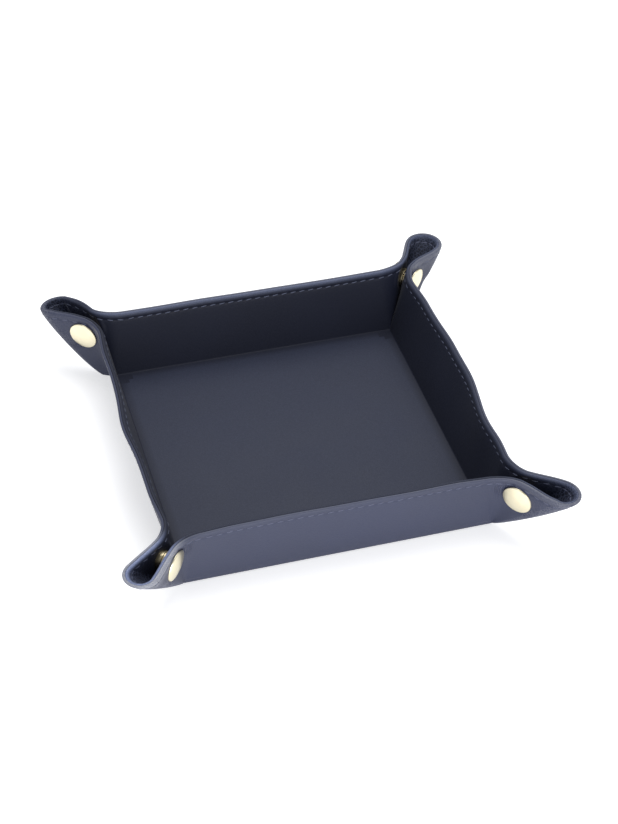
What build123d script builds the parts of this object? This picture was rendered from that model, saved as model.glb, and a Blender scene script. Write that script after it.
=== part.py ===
from build123d import *
from math import atan, cos, radians, sin, sqrt, tan
import os

os.makedirs("parts", exist_ok=True)

# A square valet tray folded from two leather sheets that are sewn together round their edge.
# Millimetres, +Z up. The origin is the middle of the underside of the floor.
# Every piece is drawn once on the back side, where outward is +Y, and then turned to the others.

# Driving sizes
floor_size = 120.0
rim_height = 30.0
wall_lean = 11.0
outer_leather = 1.2
lining_leather = 1.2
board_thickness = 0.6

# The neck is the bend at the end of a wall, where the leather turns out into the corner flap
neck_radius_base = 1.3
neck_radius_rim = 8.0

# Corner flaps and the round loop that joins the two flaps of a corner. Both are cones about the
# point where three creases meet. The shares are run per rise, but the splay is per reach.
flap_splay_share = 0.09
flap_lean_share = 0.09
loop_reach_share = 0.95
flap_foot = 3.2
lining_foot = 8.7

# Clear spaces
hinge_gap = 0.16
corner_gap = 0.2
ridge_gap = 0.9
ridge_bevel = 48.0
cap_clearance = 0.4

# Stiffening boards between the leathers
floor_board_margin = 4.0
wall_board_crease_margin = 3.5
wall_board_rim_margin = 6.5
wall_board_end_margin = 9.0
board_fit = 0.05

# Press studs
snap_height = 21.6
snap_reach_share = 0.57
cap_diameter = 12.2
cap_rise = 1.7
cap_lip = 0.6
cap_lift = 0.3
cap_edge = 0.9
post_diameter = 3.2
post_fit = 0.1
socket_diameter = 8.4
socket_bore = 4.4
stud_base_diameter = 8.0
knob_diameter = 3.8
knob_neck_diameter = 3.2
knob_length_share = 0.7
knob_round = 0.35
snap_gap = 0.2

overrun = 5.0

# Worked out from the driving sizes
sheet = outer_leather + lining_leather
lean = radians(wall_lean)
mitre_share = (1 - sin(lean)) / cos(lean)
outer_run = outer_leather / cos(lean)
lining_run = lining_leather / cos(lean)
inner_half = floor_size / 2
seam_half = inner_half + lining_leather * mitre_share
edge_half = inner_half + sheet * mitre_share
splay = atan(flap_splay_share)
neck_turn = radians(45) + splay
loop_turn = radians(45) + neck_turn

apex = Vector(seam_half, seam_half, outer_leather)
along = Vector(1, 1, 0).normalized()
across = Vector(-1, 1, 0).normalized()
flap_heading = Vector(cos(neck_turn), sin(neck_turn))
flap_side = Vector(-sin(neck_turn), cos(neck_turn))


def seam_y(z):
    """Where outer leather and lining meet in the wall, at height z."""
    return seam_half + (z - outer_leather) * tan(lean)


def neck_radius(z):
    """The bend is tight at the floor and wide at the rim."""
    return neck_radius_base + (neck_radius_rim - neck_radius_base) * z / rim_height


def neck_corner(z):
    """The point where the wall's line and the flap's line would meet without the bend."""
    rise = z - outer_leather
    set_off = flap_lean_share * rise / sqrt(2)
    run = (rise * tan(lean) - set_off) / sin(neck_turn)
    return Vector(seam_half - set_off + run * cos(neck_turn), seam_y(z))


def bend_start(z):
    return neck_corner(z).X - neck_radius(z) * tan(neck_turn / 2)


def bend_centre(z):
    return Vector(bend_start(z), seam_y(z) + neck_radius(z))


def loop_centre(z):
    return Vector(apex.X, apex.Y) + along * loop_reach_share * (z - outer_leather)


def loop_radius(z):
    rise = z - outer_leather
    return (flap_splay_share * loop_reach_share + flap_lean_share) * rise * cos(splay)


def at_angle(centre, radius, angle):
    """A point on the right-hand side of a heading, as the outside of a left-hand bend."""
    return centre + Vector(sin(angle), -cos(angle)) * radius


def wall_section(z, inside, outside):
    """A wall at height z, from end to end, between two distances out from the seam."""
    with BuildSketch(Plane.XY.offset(z)) as section:
        with BuildLine():
            ends = []
            for off in (inside, outside):
                start = Vector(bend_start(z), seam_y(z) + off)
                Line((0, seam_y(z) + off), start)
                bend = JernArc(start, (1, 0), neck_radius(z) - off, neck_turn_degrees / 2)
                ends.append(bend @ 1)
            Line(ends[0], ends[1])
            mirror(about=Plane.YZ)
        make_face()
    return section.sketch


def flap_section(z, inside, outside):
    """A corner flap at height z, from the middle of the neck to the start of the loop."""
    half_turn = neck_turn / 2
    half_heading = Vector(cos(half_turn), sin(half_turn))
    with BuildSketch(Plane.XY.offset(z)) as section:
        with BuildLine():
            starts = []
            ends = []
            for off in (inside, outside):
                radius = neck_radius(z) - off
                start = at_angle(bend_centre(z), radius, half_turn)
                bend = JernArc(start, half_heading, radius, neck_turn_degrees / 2)
                end = loop_centre(z) + flap_side * (loop_radius(z) + off)
                Line(bend @ 1, end)
                starts.append(start)
                ends.append(end)
            Line(starts[0], starts[1])
            Line(ends[0], ends[1])
        make_face()
    return section.sketch


def tip_section(z, inside, outside):
    """Half of the round loop at height z, from the flap to the ridge."""
    with BuildSketch(Plane.XY.offset(z)) as section:
        with BuildLine():
            starts = []
            ends = []
            for off in (inside, outside):
                radius = loop_radius(z) + off
                start = loop_centre(z) + flap_side * radius
                bend = JernArc(start, flap_heading, radius, -loop_turn_degrees)
                starts.append(start)
                ends.append(bend @ 1)
            Line(starts[0], starts[1])
            Line(ends[0], ends[1])
        make_face()
    return section.sketch


neck_turn_degrees = neck_turn * 180 / radians(180)
loop_turn_degrees = loop_turn * 180 / radians(180)

# Planes that part the leather where it folds. Each normal points into the piece that is kept.
mitre = Vector(0, sheet, edge_half - inner_half).normalized()
wall_foot_plane = Plane(origin=(0, edge_half, 0), z_dir=mitre)
neck_line = (Vector(neck_corner(rim_height).X, seam_y(rim_height), rim_height) - apex).normalized()
neck_middle = Vector(-sin(neck_turn / 2), cos(neck_turn / 2), 0)
neck_plane = Plane(origin=apex, z_dir=neck_middle.cross(neck_line))
loop_start_xy = loop_centre(rim_height) + flap_side * loop_radius(rim_height)
loop_line = (Vector(loop_start_xy.X, loop_start_xy.Y, rim_height) - apex).normalized()
loop_plane = Plane(origin=apex, z_dir=flap_side.cross(loop_line))
diagonal_plane = Plane(origin=apex, z_dir=across)
ridge_reach = loop_reach_share + loop_radius(rim_height) / (rim_height - outer_leather)
ridge_line = (along * ridge_reach + Vector(0, 0, 1)).normalized()
ridge_out = across.cross(ridge_line)
bevel = radians(ridge_bevel)
ridge_plane = Plane(origin=apex, z_dir=across * cos(bevel) - ridge_out * sin(bevel))

# The press stud's centre on the seam of the flap, and the flap's own plane there
snap_rise = snap_height - outer_leather
snap_reach = snap_reach_share * snap_rise
snap_side = flap_splay_share * snap_reach + flap_lean_share * snap_rise
snap_centre = apex + along * snap_reach + across * snap_side + Vector(0, 0, snap_rise)
flap_out = (across - along * flap_splay_share - Vector(0, 0, 1) * flap_lean_share).normalized()
flap_outer_depth = outer_run * flap_side.dot(flap_out)
flap_lining_depth = lining_run * flap_side.dot(flap_out)
knob_length = knob_length_share * (snap_side - flap_lining_depth)
flap_seam_plane = Plane(origin=snap_centre, z_dir=flap_out)
flap_face_plane = flap_seam_plane.offset(flap_outer_depth)
flap_back_plane = flap_seam_plane.offset(-flap_lining_depth)

wall_seam_plane = Plane(
    origin=(0, seam_half, outer_leather),
    x_dir=(-1, 0, 0),
    z_dir=(0, cos(lean), -sin(lean)),
)
wall_slant = (rim_height - outer_leather) / cos(lean)

# Floor: outer leather below, lining above, each with edges cut back along the creases
with BuildPart() as floor_outer:
    for z, half in ((0, edge_half), (outer_leather, seam_half)):
        with BuildSketch(Plane.XY.offset(z)):
            Rectangle(2 * half - hinge_gap, 2 * half - hinge_gap)
    loft(ruled=True)

with BuildPart() as floor_lining:
    for z, half in ((outer_leather, seam_half), (sheet, inner_half)):
        with BuildSketch(Plane.XY.offset(z)):
            Rectangle(2 * half - hinge_gap, 2 * half - hinge_gap)
    loft(ruled=True)
    with BuildSketch(Plane.XY.offset(outer_leather)):
        floor_recess = floor_size - 2 * floor_board_margin + 2 * board_fit
        Rectangle(floor_recess, floor_recess)
    extrude(amount=board_thickness, mode=Mode.SUBTRACT)

with BuildPart() as floor_board:
    with BuildSketch(Plane.XY.offset(outer_leather)):
        Rectangle(floor_size - 2 * floor_board_margin, floor_size - 2 * floor_board_margin)
    extrude(amount=board_thickness)


def part_wall_ends():
    """Cuts a wall free at its crease, at the middle of both necks and along both corners."""
    split(bisect_by=wall_foot_plane.offset(hinge_gap / 2), keep=Keep.TOP)
    for plane, gap in ((neck_plane, -hinge_gap), (diagonal_plane, corner_gap)):
        keep = Keep.TOP if gap > 0 else Keep.BOTTOM
        cut = plane.offset(gap / 2)
        split(bisect_by=cut, keep=keep)
        normal = Vector(-cut.z_dir.X, cut.z_dir.Y, cut.z_dir.Z)
        origin = Vector(-cut.origin.X, cut.origin.Y, cut.origin.Z)
        split(bisect_by=Plane(origin=origin, z_dir=normal), keep=keep)


# Walls, with the first half of the neck at both ends
with BuildPart() as wall_outer:
    loft([wall_section(z, 0, outer_run) for z in (0, rim_height)], ruled=True)
    part_wall_ends()

board_height = wall_slant - wall_board_crease_margin - wall_board_rim_margin
board_length = floor_size - 2 * wall_board_end_margin
board_plane = Plane(
    origin=wall_seam_plane.from_local_coords((0, wall_board_crease_margin + board_height / 2, 0)),
    x_dir=wall_seam_plane.x_dir,
    z_dir=wall_seam_plane.z_dir,
)

with BuildPart() as wall_lining:
    loft([wall_section(z, -lining_run, 0) for z in (0, rim_height)], ruled=True)
    part_wall_ends()
    with BuildSketch(board_plane):
        Rectangle(board_length + 2 * board_fit, board_height + 2 * board_fit)
    extrude(amount=-board_thickness, mode=Mode.SUBTRACT)

with BuildPart() as wall_board:
    with BuildSketch(board_plane):
        Rectangle(board_length, board_height)
    extrude(amount=-board_thickness)


with BuildSketch(flap_seam_plane) as post_hole:
    Circle(post_diameter / 2 + post_fit)


def part_flap():
    """Cuts a flap free of the wall, of the loop and of the flap across the corner."""
    split(bisect_by=neck_plane.offset(hinge_gap / 2), keep=Keep.TOP)
    split(bisect_by=loop_plane.offset(hinge_gap / 2), keep=Keep.TOP)
    split(bisect_by=diagonal_plane.offset(corner_gap / 2), keep=Keep.TOP)
    extrude(post_hole.sketch, amount=overrun, both=True, mode=Mode.SUBTRACT)


with BuildPart() as flap_outer:
    loft([flap_section(z, 0, outer_run) for z in (flap_foot, rim_height)], ruled=True)
    part_flap()

with BuildPart() as flap_lining:
    loft([flap_section(z, -lining_run, 0) for z in (lining_foot, rim_height)], ruled=True)
    part_flap()


def part_tip():
    split(bisect_by=loop_plane.offset(-hinge_gap / 2), keep=Keep.BOTTOM)
    split(bisect_by=diagonal_plane.offset(ridge_gap / 2), keep=Keep.TOP)
    split(bisect_by=ridge_plane.offset(ridge_gap / 2), keep=Keep.TOP)


# The outer leather of the loop is cut back round the cap, which overhangs the fold
with BuildSketch(flap_seam_plane) as cap_recess:
    Circle(cap_diameter / 2 + cap_clearance)

with BuildPart() as tip_outer:
    loft([tip_section(z, 0, outer_run) for z in (flap_foot, rim_height)], ruled=True)
    part_tip()
    extrude(cap_recess.sketch, amount=overrun, both=True, mode=Mode.SUBTRACT)

with BuildPart() as tip_lining:
    loft([tip_section(z, -lining_run, 0) for z in (lining_foot, rim_height)], ruled=True)
    part_tip()

# Press stud. The cap's dome and hollow post are one pressing, set through the leather from outside.
radial = flap_out.cross(Vector(0, 0, 1)).normalized()
cap_plane = Plane(origin=flap_face_plane.origin, x_dir=radial, z_dir=radial.cross(flap_out))
cap_radius = cap_diameter / 2
cap_seat_radius = cap_radius - cap_edge
post_length = flap_outer_depth + flap_lining_depth

with BuildPart() as snap_cap:
    with BuildSketch(cap_plane):
        with BuildLine():
            Line((0, 0), (cap_seat_radius, 0))
            Line((cap_seat_radius, 0), (cap_radius, cap_lift))
            Line((cap_radius, cap_lift), (cap_radius, cap_lip))
            TangentArc((0, cap_rise), (cap_radius, cap_lip), tangent=(1, 0))
            Line((0, cap_rise), (0, 0))
        make_face()
    revolve(axis=Axis(cap_plane.origin, flap_out))
    with BuildSketch(flap_face_plane):
        Circle(post_diameter / 2)
    extrude(amount=-post_length)

across_plane = Plane(origin=snap_centre - across * snap_side, x_dir=along, z_dir=across)

with BuildPart() as snap_socket:
    with BuildSketch(across_plane.offset(snap_gap)):
        Circle(socket_diameter / 2)
    extrude(amount=overrun)
    with BuildSketch(across_plane):
        Circle(socket_bore / 2)
    extrude(amount=overrun, mode=Mode.SUBTRACT)
    split(bisect_by=flap_back_plane, keep=Keep.BOTTOM)

with BuildPart() as snap_stud:
    with BuildSketch(across_plane.offset(snap_gap)):
        Circle(stud_base_diameter / 2)
    extrude(amount=overrun)
    split(bisect_by=flap_back_plane, keep=Keep.BOTTOM)
    with BuildSketch(across_plane.offset(snap_gap)):
        Circle(knob_neck_diameter / 2)
    extrude(amount=-snap_gap - knob_length)
    with BuildSketch(across_plane.offset(-knob_length / 2)):
        Circle(knob_diameter / 2)
    extrude(amount=-knob_length / 2)
    fillet(faces().sort_by(Axis(across_plane.origin, across))[0].edges(), knob_round)

# Every side carries its own copy of each pattern. Seen from above, the sides go round from the back
# against the clock, and the pattern's own end is the end towards the next corner the other way.
sides = ("back", "left", "front", "right")
next_sides = {"back": ("right", "left"), "left": ("back", "front"),
              "front": ("left", "right"), "right": ("front", "back")}


def write(name, *patterns, turn=0, mirrored=False):
    """Sets a pattern on its side of the tray, at its own end or mirrored to the other."""
    with BuildPart() as piece:
        for pattern in patterns:
            with Locations(Location((0, 0, 0), (0, 0, turn))):
                add(pattern.part.mirror(Plane.YZ) if mirrored else pattern.part)
    piece.part.label = name
    export_step(piece.part, f"parts/{name}.step")


write("floor_outer_leather", floor_outer)
write("floor_lining", floor_lining)
write("floor_board", floor_board)

quarter = 360 / len(sides)
for number, side in enumerate(sides):
    turn = number * quarter
    write(f"{side}_wall_outer_leather", wall_outer, turn=turn)
    write(f"{side}_wall_lining", wall_lining, turn=turn)
    write(f"{side}_wall_board", wall_board, turn=turn)
    for towards, mirrored in zip(next_sides[side], (False, True)):
        flap = f"{side}_{towards}"
        write(f"{flap}_flap_outer_leather", flap_outer, turn=turn, mirrored=mirrored)
        write(f"{flap}_flap_lining", flap_lining, turn=turn, mirrored=mirrored)
        write(f"{flap}_loop_half", tip_outer, tip_lining, turn=turn, mirrored=mirrored)
        write(f"{flap}_snap_cap", snap_cap, turn=turn, mirrored=mirrored)
        if side in ("back", "front"):
            write(f"{flap}_snap_socket", snap_socket, turn=turn, mirrored=mirrored)
        else:
            write(f"{flap}_snap_stud", snap_stud, turn=turn, mirrored=mirrored)
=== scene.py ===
import math
from collections import namedtuple

import bmesh
import bpy
from mathutils import Matrix, Quaternion, Vector, noise


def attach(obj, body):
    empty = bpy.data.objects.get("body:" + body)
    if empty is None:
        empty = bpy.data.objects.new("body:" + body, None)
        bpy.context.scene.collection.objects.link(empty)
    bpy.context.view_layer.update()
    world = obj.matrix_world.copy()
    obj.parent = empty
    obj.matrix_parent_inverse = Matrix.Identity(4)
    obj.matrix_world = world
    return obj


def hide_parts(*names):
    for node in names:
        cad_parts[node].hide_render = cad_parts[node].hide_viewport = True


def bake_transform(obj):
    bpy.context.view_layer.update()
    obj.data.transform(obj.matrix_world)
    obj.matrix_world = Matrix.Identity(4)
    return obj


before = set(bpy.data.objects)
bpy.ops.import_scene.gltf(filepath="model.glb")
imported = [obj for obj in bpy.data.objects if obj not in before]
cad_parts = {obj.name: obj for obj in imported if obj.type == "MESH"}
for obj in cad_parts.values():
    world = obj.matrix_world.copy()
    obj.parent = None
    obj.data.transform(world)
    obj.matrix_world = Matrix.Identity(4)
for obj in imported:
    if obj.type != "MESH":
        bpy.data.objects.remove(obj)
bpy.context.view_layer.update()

# Camera: a long lens from the front left and above, as the photograph was taken. Its focal length
# was measured in pixels of the photograph's long side.
mm = 0.001
photo_long_side = 824
photo_focal_pixels = 1912
camera_azimuth = math.radians(-17.56)
camera_elevation = math.radians(41.23)
camera_roll = math.radians(1.75)
camera_distance = 772 * mm
aim_right = 5.71 * mm
aim_up = 14.45 * mm

camera_back = Vector((
    math.sin(camera_azimuth) * math.cos(camera_elevation),
    -math.cos(camera_azimuth) * math.cos(camera_elevation),
    math.sin(camera_elevation),
))
camera_turn = Quaternion(camera_back, camera_roll) @ (-camera_back).to_track_quat("-Z", "Y")
camera = bpy.data.objects.new("camera", bpy.data.cameras.new("camera"))
bpy.context.scene.collection.objects.link(camera)
camera.data.lens = photo_focal_pixels * camera.data.sensor_width / photo_long_side
camera.rotation_mode = "QUATERNION"
camera.rotation_quaternion = camera_turn
camera.location = camera_back * camera_distance + camera_turn @ Vector((aim_right, aim_up, 0))
bpy.context.scene.camera = camera


# Leather finish: smooth navy calf with a fine pebble. The dye is a little uneven, the rims and creases
# are paler, partly rubbed wear and partly a painted highlight, and the floor's lining is painted paler
# as painted light from above. Where the leather is rolled tight its grain opens into small cracks,
# with pale flecks that are painted glints.
class Level:
    """A socket of a finish, so that sums on it read as sums."""

    def __init__(self, finish, socket):
        self.finish, self.socket = finish, socket

    def sum(self, operation, *values):
        node = self.finish.node("Math", {"operation": operation}, dict(enumerate(values)))
        return Level(self.finish, node.outputs[0])

    def __add__(self, other):
        return self.sum("ADD", self, other)

    def __sub__(self, other):
        return self.sum("SUBTRACT", self, other)

    def __rsub__(self, other):
        return self.sum("SUBTRACT", other, self)

    def __mul__(self, other):
        return self.sum("MULTIPLY", self, other)

    __radd__ = __add__
    __rmul__ = __mul__


class Finish:
    """A material and the nodes that make it."""

    def __init__(self, name):
        self.material = bpy.data.materials.new(name)
        self.material.use_nodes = True
        self.tree = self.material.node_tree
        self.tree.nodes.clear()
        self.output = self.node("OutputMaterial")

    def node(self, kind, settings=None, sockets=None):
        """Adds a node. Its settings go first, then the values or links of its sockets."""
        node = self.tree.nodes.new("ShaderNode" + kind)
        for key, value in (settings or {}).items():
            setattr(node, key, value)
        for key, value in (sockets or {}).items():
            if isinstance(value, Level):
                self.tree.links.new(value.socket, node.inputs[key])
            else:
                node.inputs[key].default_value = value
        return node

    def level(self, kind, settings=None, sockets=None, output=0):
        return Level(self, self.node(kind, settings, sockets).outputs[output])

    def ramp(self, value, low, high):
        """0 at low, 1 at high, smooth between."""
        settings = {"interpolation_type": "SMOOTHSTEP"}
        return self.level("MapRange", settings, {"Value": value, "From Min": low, "From Max": high})

    def tint(self, share, first, second):
        """The first colour where the share is 0, and the second where it is 1."""
        colour_sockets = {0: share, 6: first, 7: second}
        return self.level("Mix", {"data_type": "RGBA"}, colour_sockets, output=2)

    def shade(self, sockets):
        shader = self.level("BsdfPrincipled", None, sockets)
        self.tree.links.new(shader.socket, self.output.inputs["Surface"])
        return self.material


cloud_scale = 38.0
cloud_lift = 1.12
pore_scale = 2600.0
pebble_scale = 1500.0
crack_scale = 820.0
crack_width = 0.14
crack_glint_paleness = 0.24
wear_and_highlight_paleness = 0.115
wear_and_highlight_in_pores = 0.05
grain_depth = 0.09 * mm


def leather(name, base_colour, pale, roughness, shine):
    """A dyed leather. Its meshes carry two marks: the rub mark, for worn edges and also for painted
    highlights and painted light, and crush where it is rolled.
    """
    skin = Finish(name)
    place = skin.level("TexCoord", output=3)
    rub_and_highlight = skin.level("Attribute", {"attribute_name": "rub_and_highlight"}, output=2)
    crush = skin.level("Attribute", {"attribute_name": "crush"}, output=2)
    clouds = skin.level("TexNoise", None, {"Vector": place, "Scale": cloud_scale, "Detail": 3.0})
    pores = skin.level("TexNoise", None, {"Vector": place, "Scale": pore_scale, "Detail": 2.0})
    pebble = skin.level("TexVoronoi", {"feature": "SMOOTH_F1"},
                        {"Vector": place, "Scale": pebble_scale, "Smoothness": 0.6})
    cracks = skin.level("TexVoronoi", {"feature": "DISTANCE_TO_EDGE"},
                        {"Vector": place, "Scale": crack_scale, "Randomness": 1.0})
    cracked = (1 - skin.ramp(cracks, 0.0, crack_width)) * crush
    lifted_colour = [cloud_lift * c for c in base_colour[:3]] + [1.0]
    shade = skin.tint(skin.ramp(clouds, 0.3, 0.75), base_colour, lifted_colour)
    # Painted light: the rub mark makes rims paler, partly for rubbed wear and partly as a painted
    # highlight, and makes the floor's lining paler as painted light from above.
    paleness = wear_and_highlight_paleness + wear_and_highlight_in_pores * skin.ramp(pores, 0.4, 0.65)
    rubbed_and_highlit = skin.tint(rub_and_highlight * paleness, shade, pale)
    # The pale flecks in the cracks are painted glints on the crinkled leather.
    cracked_and_glinting = skin.tint(cracked * crack_glint_paleness, rubbed_and_highlit, pale)
    grain = 0.75 * pebble + 0.35 * pores - 1.6 * cracked
    bump = skin.level("Bump", None, {"Height": grain, "Strength": 0.55, "Distance": grain_depth})
    return skin.shade({
        "Base Color": cracked_and_glinting,
        "Roughness": roughness + 0.12 * clouds + 0.08 * pebble - 0.06 * rub_and_highlight,
        "Normal": bump,
        "Specular IOR Level": shine,
        "Sheen Weight": 0.04,
        "Sheen Roughness": 0.4,
    })


outer_finish = leather("navy_outer_leather", base_colour=(0.027, 0.033, 0.070, 1),
                       pale=(0.30, 0.31, 0.36, 1), roughness=0.44, shine=0.5)
# The lining is a much darker copy of the outer leather: painted shade for the inside of the tray.
painted_shade_lining_finish = leather("navy_lining_leather_painted_shade", base_colour=(0.007, 0.0095, 0.024, 1),
                        pale=(0.20, 0.24, 0.40, 1), roughness=0.50, shine=0.36)

# The tray's driving sizes. Two leathers, a lining over an outer one, are sewn together round
# their edge, and the floor and the four leaning walls are one square sheet of the pair.
floor_size = 120 * mm
rim_height = 30 * mm
lean = math.radians(11)
leather_thickness = 1.2 * mm
neck_radius_base = 1.6 * mm
neck_radius_rim = 15.5 * mm
flap_splay_share = 0.09
flap_lean_share = 0.09
loop_reach_share = 0.95

mitre_share = (1 - math.sin(lean)) / math.cos(lean)
run = leather_thickness / math.cos(lean)
floor_top = 2 * leather_thickness
inner_half = floor_size / 2
seam_half = inner_half + leather_thickness * mitre_share
edge_half = inner_half + floor_top * mitre_share
splay = math.atan(flap_splay_share)
neck_turn = math.radians(45) + splay
loop_turn = math.radians(45) + neck_turn
apex = Vector((seam_half, seam_half, leather_thickness))
along = Vector((1, 1, 0)).normalized()
across = Vector((-1, 1, 0)).normalized()
flap_heading = Vector((math.cos(neck_turn), math.sin(neck_turn), 0))
flap_side = Vector((-math.sin(neck_turn), math.cos(neck_turn), 0))

# Each side is drawn once, at the back, and turned to its place. A corner is drawn at the right end
# and mirrored for the left end.
sides = ("back", "left", "front", "right")
next_sides = {"back": ("right", "left"), "left": ("back", "front"),
              "front": ("left", "right"), "right": ("front", "back")}


def side_turn(side, mirrored=False):
    """Takes what is drawn at the back, at its right end, to its own side and end."""
    turn = Matrix.Rotation(math.radians(90) * sides.index(side), 4, "Z")
    return turn @ Matrix.Scale(-1, 4, (1, 0, 0)) if mirrored else turn


def finish_piece(bm, name, material, smooth_below=math.radians(40)):
    """Turns a bmesh into an object at the origin, smooth but for its sharp edges."""
    bmesh.ops.recalc_face_normals(bm, faces=bm.faces)
    for face in bm.faces:
        face.smooth = True
    for edge in bm.edges:
        if len(edge.link_faces) == 2 and edge.calc_face_angle() > smooth_below:
            edge.smooth = False
    mesh = bpy.data.meshes.new(name)
    bm.to_mesh(mesh)
    bm.free()
    mesh.materials.append(material)
    piece = bpy.data.objects.new(name, mesh)
    bpy.context.scene.collection.objects.link(piece)
    return piece


# Floor: the flat middle of the sheet, outer leather below and lining above, with a board between.
# The leather lies loose on its board, so its top is not quite flat.
crease_margin = 4 * mm
plain_half = inner_half - crease_margin
floor_ripple = 0.12 * mm
floor_ripple_scale = 28.0
ripple_fade = 4
floor_segments = 56
# The floor's lining is painted paler than the walls' lining: painted light, as if lit from above.
floor_painted_light = 0.54


def settle(point):
    """How far the lining of the floor has lifted at a point: nothing at its edge."""
    edge_share = max(abs(point.x), abs(point.y)) / plain_half
    ripple = noise.noise(Vector((point.x, point.y, 0.0)) * floor_ripple_scale)
    return floor_ripple * (1 + ripple) * min(1, (1 - edge_share) * ripple_fade)


for name, low, material in (("floor_under_leather", 0.0, outer_finish),
                            ("floor_top_leather", leather_thickness, painted_shade_lining_finish)):
    bm = bmesh.new()
    bmesh.ops.create_grid(bm, x_segments=floor_segments, y_segments=floor_segments, size=plain_half)
    raised = bmesh.ops.extrude_face_region(bm, geom=bm.faces[:])["geom"]
    for vertex in (part for part in raised if isinstance(part, bmesh.types.BMVert)):
        vertex.co.z = leather_thickness
    bmesh.ops.translate(bm, verts=bm.verts[:], vec=(0, 0, low))
    # Painted light: the floor's lining gets the rub mark all over.
    if low > 0:
        rub_and_highlight = bm.verts.layers.float.new("rub_and_highlight")
        for vertex in bm.verts:
            vertex[rub_and_highlight] = floor_painted_light
            if vertex.co.z > low:
                vertex.co.z += settle(vertex.co)
    piece = finish_piece(bm, name, material)
    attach(piece, "floor")
    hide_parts("floor_outer_leather" if low == 0 else "floor_lining")


# Walls, with the crease at the foot. Both leathers turn up together. Along the rim a stitched
# channel pulls the pair together, and the edge above it is rounded and burnished.
rim_round = 0.8 * mm
rim_groove = 0.16 * mm
stitch_drop = 2.6 * mm
channel_half = 0.9 * mm
channel_depth = 0.22 * mm
channel_steps = 4
dent_mean, dent_swing = 0.6, 0.4
crease_round = {1: 1.4 * mm, -1: 0.5 * mm}
crease_rise = 1.2
foot = floor_top
foot_columns = 4
foot_reach = 8 * mm
wall_end = 54 * mm
lap_top = 3.6 * mm
lap_tuck = 0.05 * mm
round_steps = 5
back_rows = 3
wall_columns = 140
wall_stitches = 28
weld_gap = 0.0001 * mm
level_gap = 0.01 * mm


def seam_y(z):
    """Where the two leathers meet in the wall, at height z."""
    return seam_half + (z - leather_thickness) * math.tan(lean)


def rim_outline(low, rows=9):
    """One leather's section from a foot up its face, over the rim and down its back.
    Each point is height, distance from the seam, and the channel's share there."""
    stitch_line = rim_height - stitch_drop
    plain_top = stitch_line - channel_half
    points = [(low + (plain_top - low) * row / rows, run, 0.0) for row in range(rows)]
    for step in range(-channel_steps, channel_steps + 1):
        share = math.cos(math.radians(90) * step / channel_steps) ** 2
        points.append((stitch_line + channel_half * step / channel_steps, run, share))
    for step in range(round_steps + 1):
        angle = math.radians(90) * step / round_steps
        reach = run - rim_round + rim_round * math.cos(angle)
        points.append((rim_height - rim_round + rim_round * math.sin(angle), reach, 0.0))
    points.append((rim_height, rim_groove, 0.0))
    points.append((rim_height - rim_groove, rim_groove / 4, 0.0))
    for row in range(back_rows + 1):
        points.append((plain_top + (low - plain_top) * row / back_rows, 0.0, 0.0))
    return points


def crease_outline(face):
    """The crease's section, from the floor to the foot of the wall. face is 1 outside, -1 inside."""
    half, level = (edge_half, 0.0) if face == 1 else (inner_half, floor_top)
    radius = crease_round[face]
    middle = half + radius * math.tan(lean) - radius / math.cos(lean)
    points = []
    for step in range(round_steps + 1):
        angle = (math.radians(90) - lean) * step / round_steps
        points.append((middle + radius * math.sin(angle), level + radius - radius * math.cos(angle)))
    return points


# The walls stand a little in or out of line, and wave along their rims. Each wave is a place along
# the wall and how far the rim stands out there.
rim_lean_out = {"back": -0.2 * mm, "left": 1.4 * mm, "front": -1.0 * mm, "right": 1.5 * mm}
rim_waves = {
    "back": ((-22 * mm, 0.3 * mm), (30 * mm, -0.2 * mm)),
    "left": ((-3 * mm, 1.7 * mm), (30 * mm, -0.5 * mm)),
    "front": ((-26 * mm, 0.3 * mm), (20 * mm, -0.3 * mm)),
    "right": ((-14 * mm, 1.3 * mm), (7 * mm, 1.5 * mm), (36 * mm, -1.6 * mm)),
}
wave_width = 13 * mm
wave_power = 1.5
bow_end = 50 * mm
bow_fade = 20 * mm


def smooth(value, low, high):
    """0 at low, 1 at high, smooth between."""
    share = max(0.0, min(1.0, (value - low) / (high - low)))
    return share * share * (3 - 2 * share)


def bow(side, x, z):
    """How far a wall has gone out at a place along it and a height."""
    rise = max(0.0, z - floor_top) / (rim_height - floor_top)
    out = rim_lean_out[side] * rise
    for place, height in rim_waves[side]:
        out += height * rise ** wave_power * math.exp(-((x - place) / wave_width) ** 2)
    return out * (1 - smooth(abs(x), bow_end - bow_fade / 2, bow_end + bow_fade / 2))


# The band where a wall would bend from the floor, square to the mitre of its crease. It is worked
# out, but nothing bends in it here.
crease_middle = Vector((0, (edge_half + inner_half) / 2, floor_top / 2))
crease_across = Vector((0, floor_top, edge_half - inner_half)).normalized()
crease_band = 0.9 * mm


def add_marks(bm):
    """The two marks that the leather finish reads."""
    rub_and_highlight = bm.verts.layers.float.new("rub_and_highlight")
    crush = bm.verts.layers.float.new("crush")
    return rub_and_highlight, crush


def bent_strip(bm, rows, columns, place, mark=None):
    """A flat strip laid along a rail, where place says where a row's point goes at a share of the
    rail, and mark is a layer with what it holds there. The ends of a closed section are joined."""
    made = bmesh.ops.create_grid(bm, x_segments=columns, y_segments=rows, size=0.5)["verts"]
    for vertex in made:
        row = round((vertex.co.y + 0.5) * rows)
        share = vertex.co.x + 0.5
        vertex.co = place(row, share)
        if mark:
            vertex[mark[0]] = mark[1](row, share)
    bmesh.ops.remove_doubles(bm, verts=made, dist=weld_gap)


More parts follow.
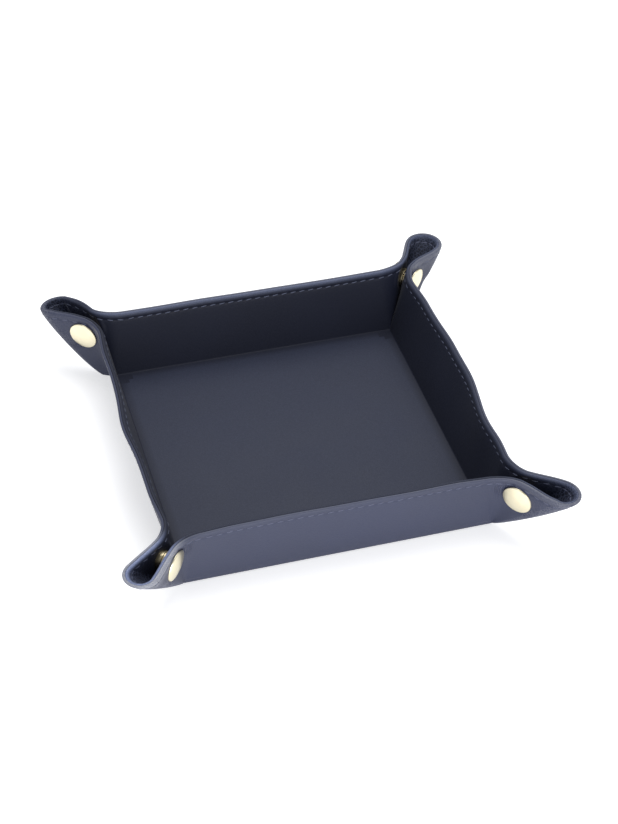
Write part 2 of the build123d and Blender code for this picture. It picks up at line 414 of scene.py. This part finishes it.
# How pale each rim is made, partly rubbed wear and partly a painted highlight, and at the corners
# how far down the paleness reaches
rub_and_highlight_reach = 1.6 * mm
rim_wear_and_highlight = {"back": 2.6, "left": 0.0, "front": 0.4, "right": 0.7}
WearAndHighlight = namedtuple("WearAndHighlight", "share reach")
corner_wear_and_highlight = {
    "back_left": WearAndHighlight(0.3, 2 * mm),
    "back_right": WearAndHighlight(1.8, 12 * mm),
    "front_left": WearAndHighlight(6.0, 7 * mm),
    "front_right": WearAndHighlight(1.5, 3 * mm),
}


def rub_and_highlight_at_rim(bm, rub_and_highlight, wear_and_highlight):
    """Paints the rim paler: partly burnished wear that has lost some of its dye, partly a painted
    highlight.
    """
    for vertex in bm.verts:
        vertex[rub_and_highlight] = wear_and_highlight * max(0.0, 1 - (rim_height - vertex.co.z) / rub_and_highlight_reach)


def dent(share, count):
    """How deep the channel is between two stitches: deepest at the needle holes."""
    return dent_mean + dent_swing * math.cos(math.radians(360) * share * count)


def extend_foot(bm, section, way):
    """The foot of a wall runs on past its end to the corner, where it is mitred."""
    corner_bm = bmesh.new()
    bent_strip(corner_bm, len(section) - 1, foot_columns,
               lambda row, share: Vector((way * (wall_end + foot_reach * share), *section[row])))
    bmesh.ops.bisect_plane(
        corner_bm, geom=corner_bm.verts[:] + corner_bm.edges[:] + corner_bm.faces[:],
        plane_co=(0, 0, 0), plane_no=(way, -1, 0), clear_outer=True)
    edges = [e for e in corner_bm.edges if e.is_boundary]
    bmesh.ops.holes_fill(corner_bm, edges=edges, sides=0)
    corner_mesh = bpy.data.meshes.new("corner")
    corner_bm.to_mesh(corner_mesh)
    corner_bm.free()
    bm.from_mesh(corner_mesh)
    bpy.data.meshes.remove(corner_mesh)


for side in sides:
    for face, name, material, node, slot in (
            (1, "wall_leather", outer_finish, "wall_outer_leather", "outer_leather"),
            (-1, "wall_lining_leather", painted_shade_lining_finish, "wall_lining", "lining_leather")):
        bm = bmesh.new()
        rub_and_highlight, _ = add_marks(bm)
        crease = crease_outline(face)
        upper = rim_outline(foot + crease_round[face] * crease_rise)
        upper[-1] = (leather_thickness, 0.0, 0.0)
        level = 0.0 if face == 1 else floor_top
        start = (plain_half, level)
        end = (plain_half, leather_thickness)
        section = [(start, 0.0)] + [(point, 0.0) for point in crease]
        section += [((seam_y(z) + face * off, z), face * share) for z, off, share in upper]
        section += [(end, 0.0), (start, 0.0)]

        def lay_wall(row, share):
            (y, z), channel = section[row]
            x = (2 * share - 1) * wall_end
            y -= channel * channel_depth * dent(share, wall_stitches)
            return Vector((x, y + bow(side, x, z), z))

        bent_strip(bm, len(section) - 1, wall_columns, lay_wall)
        rub_and_highlight_at_rim(bm, rub_and_highlight, rim_wear_and_highlight[side])
        # The foot of the wall's lining carries the floor's painted light, fading out towards the crease.
        for vertex in bm.verts:
            if face == -1 and vertex.co.z < foot + level_gap:
                vertex[rub_and_highlight] = floor_painted_light * (1 - smooth(vertex.co.y, plain_half, inner_half))
        bmesh.ops.holes_fill(bm, edges=[e for e in bm.edges if e.is_boundary], sides=0)

        low_section = [start] + [point for point in crease if point[1] <= foot]
        if face == 1:
            low_section += [(seam_y(foot) + run, foot), (seam_half, leather_thickness), end, start]
        else:
            low_section += [(y + lap_tuck, z) for y, z in crease[1:]]
            low_section += [(seam_y(lap_top) - run + lap_tuck, lap_top), (seam_y(lap_top), lap_top)]
            low_section += [(seam_half, leather_thickness), end, start]
        for way in (1, -1):
            extend_foot(bm, low_section, way)
        turn = side_turn(side)
        bm.transform(turn)
        piece = finish_piece(bm, f"{side}_{name}", material)
        turn @ (crease_middle - crease_across * crease_band)
        turn @ (crease_middle + crease_across * crease_band)
        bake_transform(piece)
        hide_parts(f"{side}_{node}")


# At each corner of the floor the creases of two walls and two flaps meet. There the leather is
# gathered between the two sheets into a small thick spot, which stays with the floor.
gather_radius_low, gather_radius_high = 1.4 * mm, 2.1 * mm
gather_middle = 60.0 * mm
gather_low, gather_high = 0.4 * mm, 2.3 * mm
gather_segments = 28
for side in sides:
    bm = bmesh.new()
    bmesh.ops.create_cone(bm, cap_ends=True, segments=gather_segments, radius1=gather_radius_low,
                          radius2=gather_radius_high, depth=gather_high - gather_low)
    middle = (gather_middle, gather_middle, (gather_low + gather_high) / 2)
    bmesh.ops.translate(bm, verts=bm.verts[:], vec=middle)
    bm.transform(side_turn(side))
    piece = finish_piece(bm, f"{side}_corner_gather", painted_shade_lining_finish)
    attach(piece, "floor")


# A card between the two leathers keeps each wall straight. It lies against the outer leather and
# follows the wall's bow.
card_foot = 4.6 * mm
card_top = 23.2 * mm
card_half = 51 * mm
card_thickness = 0.6 * mm
card_rows = 6
card_columns = wall_columns // 3
fibre_scale = 900.0
card = Finish("grey_board")
place = card.level("TexCoord", output=3)
fibre = card.level("TexNoise", None, {"Vector": place, "Scale": fibre_scale, "Detail": 4.0})
card_finish = card.shade({
    "Base Color": card.tint(fibre, (0.2, 0.19, 0.17, 1), (0.3, 0.28, 0.25, 1)),
    "Roughness": 0.85 + 0.1 * fibre,
})
for side in sides:
    bm = bmesh.new()
    bmesh.ops.create_cube(bm, size=1.0)
    long_edges = [e for e in bm.edges if abs(e.verts[0].co.x - e.verts[1].co.x) > 0.5]
    bmesh.ops.subdivide_edges(bm, edges=long_edges, cuts=card_columns)
    tall_edges = [e for e in bm.edges if abs(e.verts[0].co.z - e.verts[1].co.z) > 0.5]
    bmesh.ops.subdivide_edges(bm, edges=tall_edges, cuts=card_rows)
    for vertex in bm.verts:
        x = 2 * card_half * vertex.co.x
        z = card_foot + (card_top - card_foot) * (vertex.co.z + 0.5)
        off = card_thickness * (vertex.co.y - 0.5)
        vertex.co = (x, seam_y(z) + off + bow(side, x, z), z)
    bm.transform(side_turn(side))
    piece = finish_piece(bm, f"{side}_wall_card", card_finish)
    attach(piece, f"{side}_wall")
    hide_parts(f"{side}_wall_board")


# Corner flaps. At each end of a wall the pair of leathers turns out through a wide neck and runs
# to the corner, where it is snapped to the flap of the next wall. All of it fans out from the
# point where the creases meet.
flap_columns = 128
corner_rows = 26
flap_stitches = 7
loop_columns = 30
loop_stitches = 3
loop_lining_foot = 8.2 * mm


def neck_radius(z):
    return neck_radius_base + (neck_radius_rim - neck_radius_base) * z / rim_height


def neck_corner(z):
    """Where the wall's line and the flap's would meet without the bend."""
    rise = z - leather_thickness
    set_off = flap_lean_share * rise / math.sqrt(2)
    reach = (rise * math.tan(lean) - set_off) / math.sin(neck_turn)
    return Vector((seam_half - set_off + reach * math.cos(neck_turn), seam_y(z), z))


def bend_centre(z):
    start_x = neck_corner(z).x - neck_radius(z) * math.tan(neck_turn / 2)
    return Vector((start_x, seam_y(z) + neck_radius(z), z))


def loop_centre(z):
    point = apex + along * loop_reach_share * (z - leather_thickness)
    return Vector((point.x, point.y, z))


def loop_radius(z):
    rise = z - leather_thickness
    return (flap_splay_share * loop_reach_share + flap_lean_share) * rise * math.cos(splay)


def flap_lengths(z):
    """Lengths of the seam at height z: plain wall, neck, and flat flap."""
    centre = bend_centre(z)
    bend_end = centre + Vector((math.sin(neck_turn), -math.cos(neck_turn), 0)) * neck_radius(z)
    flap_end = loop_centre(z) + flap_side * loop_radius(z)
    return centre.x - wall_end, neck_radius(z) * neck_turn, (flap_end - bend_end).dot(flap_heading)


# A rolled corner is fuller than the cone it follows: below the rim it has swollen out, and round the
# press stud it is held flat. Its tip droops. Each corner was rolled by hand, so no two are alike:
# the numbers are the shares of the swell at the rim and below it, how far the tip droops, how high
# the swell sits (1 is halfway up, less is lower), the share of the pinch over the press stud, and
# how far the rim of the flap bows out between the neck and the loop.
CornerForm = namedtuple("CornerForm", "rim_swell belly_swell droop belly_height pinch rim_bow")
corner_forms = {
    "back_left": CornerForm(-0.1, 1.45, 2.9 * mm, 0.6, 0.6, 1.3 * mm),
    "left_back": CornerForm(-0.1, 1.45, 2.9 * mm, 0.6, 0.5, 0.0),
    "back_right": CornerForm(1.2, 0.8, 0.4 * mm, 1.0, 1.0, 0.0),
    "front_left": CornerForm(0.4, 0.45, 0.6 * mm, 1.0, 0.1, 0.0),
    "front_right": CornerForm(0.45, 0.6, 1.2 * mm, 1.0, 0.6, 0.3 * mm),
}
snap_reach = 11.63 * mm
snap_rise = 20.4 * mm
snap_side = flap_splay_share * snap_reach + flap_lean_share * snap_rise
snap_centre = apex + along * snap_reach + across * snap_side + Vector((0, 0, snap_rise))
flap_out = (across - along * flap_splay_share - Vector((0, 0, 1)) * flap_lean_share).normalized()
cap_hold = 4.8 * mm
cap_free = 7.3 * mm
seat_flat = 5.8 * mm
seat_end = 7.9 * mm
rim_pinch = 1.2 * mm
pinch_power = 3
pinch_from_turn = 0.2
pinch_low, pinch_high = 0.15, 0.95
rim_swell_along, rim_swell_out = 0.7 * mm, 1.2 * mm
belly_swell_along, belly_swell_out = 2.9 * mm, 1.3 * mm
swell_power = 0.45
swell_from = 0.1
flap_droop = 0.3
droop_from = 0.2
bow_power = 4


def of_corner(numbers, side, towards):
    """A corner's own numbers, whichever of its two sides is named first."""
    return numbers.get(f"{side}_{towards}") or numbers[f"{towards}_{side}"]


def rise_share(z):
    """0 where the creases of a corner meet, 1 at the rim."""
    return max(0.0, min(1.0, (z - leather_thickness) / (rim_height - leather_thickness)))


def swell(form, point, spoke, share, tip_share):
    """How far the leather has gone from the cone at a point, where spoke is the way outward."""
    rise = rise_share(point.z)
    belly = max(0.0, math.sin(math.radians(180) * rise ** form.belly_height)) ** swell_power
    arm = point - snap_centre
    free = smooth((arm - flap_out * arm.dot(flap_out)).length, cap_hold, cap_free)
    onward = form.rim_swell * rim_swell_along * rise + form.belly_swell * belly_swell_along * belly
    outward = form.rim_swell * rim_swell_out * rise + form.belly_swell * belly_swell_out * belly
    droop = Vector((0, 0, -form.droop * rise * tip_share))
    return (along * onward + spoke * outward) * share * free + droop


def seat(point, off, pinch_share):
    """The cap presses its seat flat, and above it the two flaps of a corner are pinched together."""
    arm = point - snap_centre
    height = arm.dot(flap_out)
    away = (arm - flap_out * height).length
    above = max(0.0, height - off * flap_side.dot(flap_out))
    free = smooth(away, cap_hold, cap_free)
    pinched = rim_pinch * rise_share(point.z) ** pinch_power * pinch_share * free
    return point - flap_out * above * (1 - smooth(away, seat_flat, seat_end)) - flap_side * pinched


def on_flap(form, z, off, share):
    """A point of the flap at height z, at a distance out from the seam and a share of its length."""
    plain, _, flat = flap_lengths(z)
    top_plain, top_neck, top_flat = flap_lengths(rim_height)
    whole = top_plain + top_neck + top_flat
    part = share * whole
    centre = bend_centre(z)
    if part < top_plain:
        return Vector((wall_end + plain * part / top_plain, seam_y(z) + off, z))
    if part < top_plain + top_neck:
        angle = neck_turn * (part - top_plain) / top_neck
        spoke = Vector((math.sin(angle), -math.cos(angle), 0))
        pinch = form.pinch * smooth(angle, neck_turn * pinch_from_turn, neck_turn)
        return seat(centre + spoke * (neck_radius(z) - off), off, pinch)
    spoke = Vector((math.sin(neck_turn), -math.cos(neck_turn), 0))
    bend_end = centre + spoke * (neck_radius(z) - off)
    done = (part - top_plain - top_neck) / top_flat
    point = bend_end + flap_heading * (flat * done)
    drooping = flap_droop * smooth(done, droop_from, 1.0)
    swollen = swell(form, point, flap_side, smooth(done, swell_from, 1.0), drooping)
    bow_share = rise_share(z) ** bow_power * math.sin(math.radians(180) * min(1, done))
    bowed = flap_side * form.rim_bow * bow_share
    return seat(point, off, form.pinch * (1 - smooth(done, pinch_low, pinch_high))) + swollen + bowed


def on_loop(form, z, off, share):
    """A point of the loop at height z, at a distance out from the seam and a share of its turn."""
    angle = loop_turn * share
    spoke = flap_side * math.cos(angle) + flap_heading * math.sin(angle)
    point = loop_centre(z) + spoke * (loop_radius(z) + off)
    return point + swell(form, point, spoke, 1.0, flap_droop + (1 - flap_droop) * share * (2 - share))


# The lines of the folds of a corner: the flap's neck, and where the loop starts. They are worked
# out, but nothing bends about them here.
neck_line = (neck_corner(rim_height) - apex).normalized()
neck_middle = Vector((-math.sin(neck_turn / 2), math.cos(neck_turn / 2), 0))
neck_across = neck_middle.cross(neck_line).normalized()
neck_band = 4.2 * mm
fold_reach = 41 * mm
neck_fold_middle = apex + neck_line * fold_reach * 0.5
loop_line = (loop_centre(rim_height) + flap_side * loop_radius(rim_height) - apex).normalized()
ridge_line = (loop_centre(rim_height) + along * loop_radius(rim_height) - apex).normalized()
loop_across = (ridge_line - loop_line * ridge_line.dot(loop_line)).normalized()

# How a loop would unroll, though nothing here moves it: how much more its rim unrolls than its
# foot, and where the bend starts and ends
loop_unrolls = {
    "back_left": (0.15, 6.9 * mm, 14.6 * mm),
    "back_right": (0.10, 4.0 * mm, 12.0 * mm),
    "front_left": (0.04, 1.7 * mm, 8.5 * mm),
    "front_right": (0.04, 1.7 * mm, 8.8 * mm),
}
knuckle_inset = 0.5 * mm
knuckle_height = 0.9 * mm
knuckle = Vector((edge_half - knuckle_inset, edge_half - knuckle_inset, knuckle_height))
crinkle_scale = 620.0
crinkle_depth = {1: 0.05 * mm, -1: 0.2 * mm}
pucker_depth = 0.16 * mm
pucker_count = 27
pucker_low, pucker_high = 17 * mm, 23 * mm
pucker_fade, pucker_top = rim_height - 4 * mm, rim_height - 2.6 * mm
pucker_start = (0.08, 0.2)
pucker_end = (0.4, 0.52)
pucker_waver = 0.6
pucker_waver_scale = (9, 90)


def crinkle(point, face, share):
    """The rolled leather has small folds, most of them in the lining."""
    return share * crinkle_depth[face] * noise.noise(point * crinkle_scale)


def pucker(face, z, share):
    """Below the stitches at the neck the outer leather is gathered into short upright folds."""
    height = smooth(z, pucker_low, pucker_high) * (1 - smooth(z, pucker_fade, pucker_top))
    width = smooth(share, *pucker_start) * (1 - smooth(share, *pucker_end))
    waver = noise.noise(Vector((share * pucker_waver_scale[0], z * pucker_waver_scale[1], 0)))
    wave = math.sin(math.radians(360) * (share * pucker_count + pucker_waver * waver))
    return pucker_depth * max(0, face) * height * width * wave


# A leather of a corner is drawn from its outline along its rail, and marked where it is worn and
# where a highlight is painted
out_probe = 1 * mm
wear_and_highlight_start, wear_and_highlight_full = 0.2, 0.6
wear_and_highlight_power = 1.5
lining_rub_and_highlight_reach = rub_and_highlight_reach * 1.2
crush_reach = 28 * mm
flap_crush = 0.5
flap_crinkle = 0.4
loop_crinkle = 0.5


def rolled_on_flap(share):
    return flap_crinkle * share ** 2


def rolled_on_loop(share):
    return loop_crinkle + (1 - loop_crinkle) * share


def corner_layer(face, place, form, columns, low, stitches, rolled, side, mirrored, corner):
    """One leather of a flap or a loop, cut at the plane between the two flaps of the corner.
    rolled says how tightly it is rolled at a share of its length, and corner is the corner's wear and
    painted highlight."""
    bm = bmesh.new()
    rub_and_highlight, crush = add_marks(bm)
    section = rim_outline(low, corner_rows)
    knuckled = face == 1

    def lay(row, share):
        if knuckled and row == len(section):
            return knuckle.copy()
        z, off, channel = section[row if row < len(section) else 0]
        off -= channel * channel_depth * dent(share, stitches)
        point = place(form, z, face * off, share)
        if off > run / 2:
            out = place(form, z, face * (off + out_probe), share) - point
            folds = crinkle(point, face, rolled(share))
            if place is on_flap:
                folds += pucker(face, z, share)
            point += out.normalized() * folds
        if place is on_flap:
            x = -point.x if mirrored else point.x
            point.y += bow(side, x, z)
        return point

    # The rub mark at a point: rubbed wear, and a painted highlight along the rim
    def rubbed_and_highlit(row, share):
        if row >= len(section):
            return 0.0
        reached = smooth(share, wear_and_highlight_start, wear_and_highlight_full) if place is on_flap else 1.0
        wear_and_highlight = rim_wear_and_highlight[side] + (corner.share - rim_wear_and_highlight[side]) * reached
        reach = rub_and_highlight_reach + (corner.reach - rub_and_highlight_reach) * reached if face == 1 else lining_rub_and_highlight_reach
        return wear_and_highlight * max(0.0, 1 - (rim_height - section[row][0]) / reach) ** wear_and_highlight_power

    bent_strip(bm, len(section) + (1 if knuckled else 0), columns, lay, mark=(rub_and_highlight, rubbed_and_highlit))
    for vertex in bm.verts:
        share = max(0.0, min(1.0, (vertex.co - apex).dot(along) / crush_reach))
        vertex[crush] = rolled(share) if place is on_loop else flap_crush * share ** 2
    geometry = bm.verts[:] + bm.edges[:] + bm.faces[:]
    bmesh.ops.bisect_plane(bm, geom=geometry, plane_co=apex, plane_no=across, clear_inner=True)
    bmesh.ops.holes_fill(bm, edges=[e for e in bm.edges if e.is_boundary], sides=0)
    return bm


def bend_neck(piece, turn):
    """Bakes a flap's piece into place. The band of its neck fold is worked out but not used."""
    turn @ (neck_fold_middle - neck_across * neck_band)
    turn @ (neck_fold_middle + neck_across * neck_band)
    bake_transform(piece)


def unroll(piece, side, towards, turn):
    """Bakes a loop's piece into place. The band where it would unroll is worked out but not used."""
    rim_share, start, end = of_corner(loop_unrolls, side, towards)
    way = (loop_across + loop_line * rim_share).normalized()
    turn @ (apex + way * start)
    turn @ (apex + way * end)
    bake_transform(piece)


for side in sides:
    for towards, mirrored in zip(next_sides[side], (False, True)):
        flap = f"{side}_{towards}_flap"
        loop = f"{side}_{towards}_loop"
        turn = side_turn(side, mirrored)
        form = of_corner(corner_forms, side, towards)
        wear_and_highlight = of_corner(corner_wear_and_highlight, side, towards)
        for face, ending, material, node, slot in (
                (1, "leather", outer_finish, "outer_leather", "outer_leather"),
                (-1, "lining_leather", painted_shade_lining_finish, "lining", "lining_leather")):
            bm = corner_layer(face, on_flap, form, flap_columns, foot, flap_stitches,
                              rolled_on_flap, side, mirrored, wear_and_highlight)
            bm.transform(turn)
            piece = finish_piece(bm, f"{flap}_{ending}", material)
            bend_neck(piece, turn)
            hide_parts(f"{flap}_{node}")

            low = foot if face == 1 else loop_lining_foot
            bm = corner_layer(face, on_loop, form, loop_columns, low, loop_stitches,
                              rolled_on_loop, side, mirrored, wear_and_highlight)
            bm.transform(turn)
            piece = finish_piece(bm, f"{loop}_{ending}", material)
            unroll(piece, side, towards, turn)
            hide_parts(f"{loop}_half")


# Stitching: one row of lockstitch in waxed thread, a little paler than the leather, drawn into
# the channel under the rim. The same holes carry the stitches on both faces.
twist_scale = 1800.0
twist_depth = 0.06 * mm
thread = Finish("slate_thread")
place = thread.level("TexCoord", output=3)
twist = thread.level("TexWave", {"bands_direction": "DIAGONAL"}, {"Vector": place, "Scale": twist_scale})
thread_bump = thread.level("Bump", None, {"Height": twist, "Strength": 0.5, "Distance": twist_depth})
thread_finish = thread.shade({
    "Base Color": thread.tint(twist, (0.075, 0.085, 0.14, 1), (0.13, 0.145, 0.22, 1)),
    "Roughness": 0.55 + 0.1 * twist,
    "Normal": thread_bump,
})
stitch_length = 2.5 * mm
stitch_width = 0.48 * mm
stitch_height = 0.36 * mm
stitch_slant = math.radians(7)
stitch_segments, stitch_rings = 8, 6
stitch_sink = channel_depth * 0.45
height_probe = 0.1 * mm
share_probe = 0.01


def on_wall(form, z, off, share):
    """A point of a wall, told in the way of the points of a flap. A wall needs no corner's form."""
    return Vector(((2 * share - 1) * wall_end, seam_y(z) + off, z))


def sew(place, form, count, side, mirrored):
    """A row of stitches on both faces of a piece, as one mesh."""
    bm = bmesh.new()
    z = rim_height - stitch_drop
    for face in (1, -1):
        for number in range(count):
            share = (number + 0.5) / count
            off = face * (run - stitch_sink)
            centre = place(form, z, off, share)
            share_after, share_before = min(1, share + share_probe), max(0, share - share_probe)
            ahead = place(form, z, off, share_after) - place(form, z, off, share_before)
            above, below = z + height_probe, z - height_probe
            upward = place(form, above, off, share) - place(form, below, off, share)
            out = ahead.cross(upward).normalized() * -1
            ahead.normalize()
            if place is not on_loop:
                x = -centre.x if mirrored else centre.x
                centre.y += bow(side, x, z)
            upward = ahead.cross(out) * -1
            frame_turn = Matrix((ahead, upward, out)).transposed().to_4x4()
            slant = Matrix.Rotation(stitch_slant * face, 4, "Z")
            size = Matrix.Diagonal((stitch_length, stitch_width, stitch_height, 1))
            where = Matrix.Translation(centre) @ frame_turn @ slant @ size
            laid = where @ Matrix.Rotation(math.radians(90), 4, "Y")
            bmesh.ops.create_uvsphere(
                bm, u_segments=stitch_segments, v_segments=stitch_rings, radius=0.5, matrix=laid)
    bm.transform(side_turn(side, mirrored))
    return bm


for side in sides:
    row = sew(on_wall, None, wall_stitches, side, False)
    piece = finish_piece(row, f"{side}_wall_stitching", thread_finish)
    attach(piece, f"{side}_wall")
    for towards, mirrored in zip(next_sides[side], (False, True)):
        turn = side_turn(side, mirrored)
        form = of_corner(corner_forms, side, towards)
        row = sew(on_flap, form, flap_stitches, side, mirrored)
        piece = finish_piece(row, f"{side}_{towards}_flap_stitching", thread_finish)
        bend_neck(piece, turn)
        row = sew(on_loop, form, loop_stitches, side, mirrored)
        piece = finish_piece(row, f"{side}_{towards}_loop_stitching", thread_finish)
        unroll(piece, side, towards, turn)


# Press studs: a domed cap outside each flap, pressed from brass, plated pale gold and polished,
# with hairline marks of handling. It is riveted through both leathers to the socket or stud inside.
handling_scale = 420.0
handling_depth = 0.1 * mm
brass_mottle_scale = 300.0
brass = Finish("pale_brass")
place = brass.level("TexCoord", output=3)
handling = brass.level("TexNoise", None, {"Vector": place, "Scale": handling_scale, "Detail": 4.0})
brass_bump = brass.level("Bump", None, {"Height": handling, "Strength": 0.08, "Distance": handling_depth})
brass_finish = brass.shade({
    "Base Color": brass.tint(handling, (0.80, 0.72, 0.50, 1), (0.86, 0.80, 0.61, 1)),
    "Metallic": 1.0,
    "Roughness": 0.24 + 0.12 * handling,
    "Normal": brass_bump,
})
# Painted shade: the sockets and studs get a darker brass than the caps, for the dim gap between the flaps
# where they sit; its mottle is random tone.
dark_brass = Finish("brass_with_painted_shade")
place = dark_brass.level("TexCoord", output=3)
brass_mottle = dark_brass.level("TexNoise", None, {"Vector": place, "Scale": brass_mottle_scale, "Detail": 3.0})
dark_brass_finish = dark_brass.shade({
    "Base Color": dark_brass.tint(brass_mottle, (0.42, 0.35, 0.21, 1), (0.60, 0.52, 0.34, 1)),
    "Metallic": 1.0,
    "Roughness": 0.18 + 0.1 * brass_mottle,
})
cap_radius = 6.1 * mm
cap_rise = 1.7 * mm
cap_lip = 0.34 * mm
cap_roll = 0.3 * mm
cap_roll_angles = (60, 30, 0, -35, -70)
cap_hem = 0.9 * mm
cap_steps = 12
cap_spin = 72
cap_smooth_below = math.radians(50)
cap_seat = run * flap_side.dot(flap_out)
cap_turn = flap_out.to_track_quat("Z", "Y").to_matrix().to_4x4()
dome_rise = cap_rise - cap_lip - cap_roll
dome_radius = (cap_radius ** 2 + dome_rise ** 2) / (2 * dome_rise)
dome_edge = cap_radius - cap_roll * 0.6
for side in sides:
    for towards, mirrored in zip(next_sides[side], (False, True)):
        bm = bmesh.new()
        outline = []
        for step in range(cap_steps + 1):
            radius = dome_edge * step / cap_steps
            outline.append((radius, cap_rise - dome_radius + math.sqrt(dome_radius ** 2 - radius ** 2)))
        for angle in cap_roll_angles:
            turned = math.radians(angle)
            radius = cap_radius - cap_roll + cap_roll * math.cos(turned)
            outline.append((radius, cap_lip + cap_roll * math.sin(turned)))
        outline += [(cap_radius - cap_hem, 0.0), (0.0, 0.0)]
        rail = [bm.verts.new((radius, 0, height)) for radius, height in outline]
        edges = [bm.edges.new(pair) for pair in zip(rail, rail[1:])]
        bmesh.ops.spin(bm, geom=rail + edges, cent=(0, 0, 0), axis=(0, 0, 1),
                       angle=math.radians(360), steps=cap_spin, use_merge=True)
        bmesh.ops.remove_doubles(bm, verts=bm.verts[:], dist=weld_gap)
        bm.transform(Matrix.Translation(snap_centre + flap_out * cap_seat) @ cap_turn)
        bm.transform(side_turn(side, mirrored))
        piece = finish_piece(bm, f"{side}_{towards}_cap", brass_finish, cap_smooth_below)
        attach(piece, f"{side}_{towards}_flap")
        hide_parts(f"{side}_{towards}_snap_cap")

# The solids that still show keep their own forms: the board in the floor is grey card, and the
# sockets and studs inside the corners are a darker brass, painted shade for the dim gap between the flaps
for name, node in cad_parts.items():
    if name.endswith("_board"):
        node.data.materials.clear()
        node.data.materials.append(card_finish)
    elif "_snap_" in name:
        node.data.materials.clear()
        node.data.materials.append(dark_brass_finish)

# Floor and light: a white sweep and large soft lamps, with the room's white all round. The sweep
# looks white from anywhere and in the brass, and keeps the tray's shadow.
sweep_half = 3000 * mm
sweep_drop = 0.2 * mm
sweep_glow = 0.5
sweep = Finish("white_sweep")
path = sweep.node("LightPath")
seen = Level(sweep, path.outputs["Is Camera Ray"]) + Level(sweep, path.outputs["Is Glossy Ray"])
diffuse = sweep.level("BsdfDiffuse", None, {"Color": (0.86, 0.86, 0.87, 1)})
glow = sweep.level("Emission", None, {"Color": (1, 1, 1, 1), "Strength": sweep_glow})
both = sweep.level("AddShader", None, {0: diffuse, 1: glow})
mixed = sweep.level("MixShader", None, {0: seen, 1: diffuse, 2: both})
sweep.tree.links.new(mixed.socket, sweep.output.inputs["Surface"])
bm = bmesh.new()
bmesh.ops.create_grid(bm, x_segments=2, y_segments=2, size=sweep_half)
sweep_floor = finish_piece(bm, "sweep", sweep.material)
sweep_floor.location.z = -sweep_drop

room_light = 0.52
room_white = 1.05
world = bpy.data.worlds.new("room")
world.use_nodes = True
room = world.node_tree.nodes["Background"]
room.inputs["Color"].default_value = (0.95, 0.97, 1.0, 1)
path = world.node_tree.nodes.new("ShaderNodeLightPath")
strength = world.node_tree.nodes.new("ShaderNodeMapRange")
strength.inputs["To Min"].default_value = room_light
strength.inputs["To Max"].default_value = room_white
world.node_tree.links.new(path.outputs["Is Camera Ray"], strength.inputs["Value"])
world.node_tree.links.new(strength.outputs["Result"], room.inputs["Strength"])
bpy.context.scene.world = world

# Each lamp's place and size are in metres, and its power in watts
for name, place, size, power in (
        ("key_lamp", Vector((0.25, 0.35, 1.3)), 1.0, 12.0),
        ("front_lamp", Vector((0.1, -1.3, 0.4)), 0.8, 5.6),
        ("low_lamp", Vector((-0.08, -0.42, 0.07)), 0.12, 0.5)):
    lamp = bpy.data.objects.new(name, bpy.data.lights.new(name, "AREA"))
    lamp.data.shape = "SQUARE"
    lamp.data.size = size
    lamp.data.energy = power
    lamp.location = place
    lamp.rotation_mode = "QUATERNION"
    lamp.rotation_quaternion = (-place).to_track_quat("-Z", "Y")
    bpy.context.scene.collection.objects.link(lamp)

bpy.context.scene.view_settings.view_transform = "Standard"
